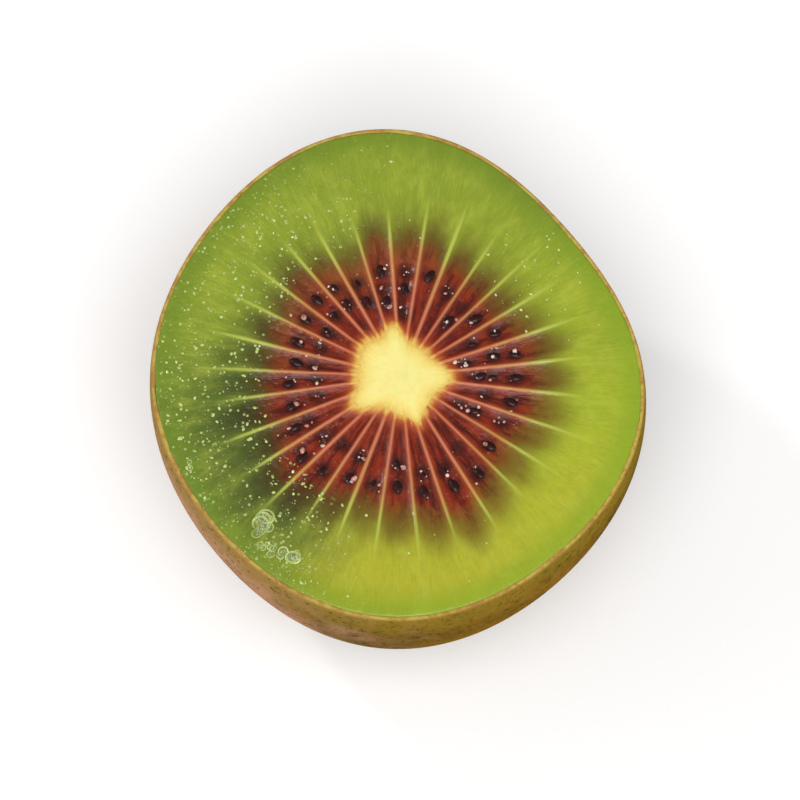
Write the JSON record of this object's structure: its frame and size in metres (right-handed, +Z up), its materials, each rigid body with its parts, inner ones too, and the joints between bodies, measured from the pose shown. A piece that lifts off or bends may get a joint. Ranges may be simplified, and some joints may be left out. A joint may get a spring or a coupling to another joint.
{
  "type": "halved kiwi fruit",
  "caption": "Half of a red-heart kiwi fruit, cut across and lying face up on its blossom end: thin tan skin, green flesh, a dark red rayed zone with seeds, and a pale core.",
  "frame": {"origin": "on the surface it rests on, under the middle of its bounding box", "axes": "+Z up, square to the cut face and out of it; +Y along the cut face's longer way; +X across it"},
  "size_m": [0.0466, 0.0492, 0.0301],
  "materials": {
    "skin": "thin tan-green skin, matt, finely speckled",
    "outer_flesh": "wet, juicy, slightly translucent green flesh",
    "inner_flesh": "wet, dark red flesh with pale rays and dark brown seeds",
    "core": "moist, fibrous, pale yellow",
    "dried_styles": "dry, brown, matt"
  },
  "bodies": {
    "root": {"skin": "skin", "outer_flesh": "outer_flesh", "inner_flesh": "inner_flesh", "core": "core", "dried_styles": "dried_styles"}
  },
  "joints": []
}
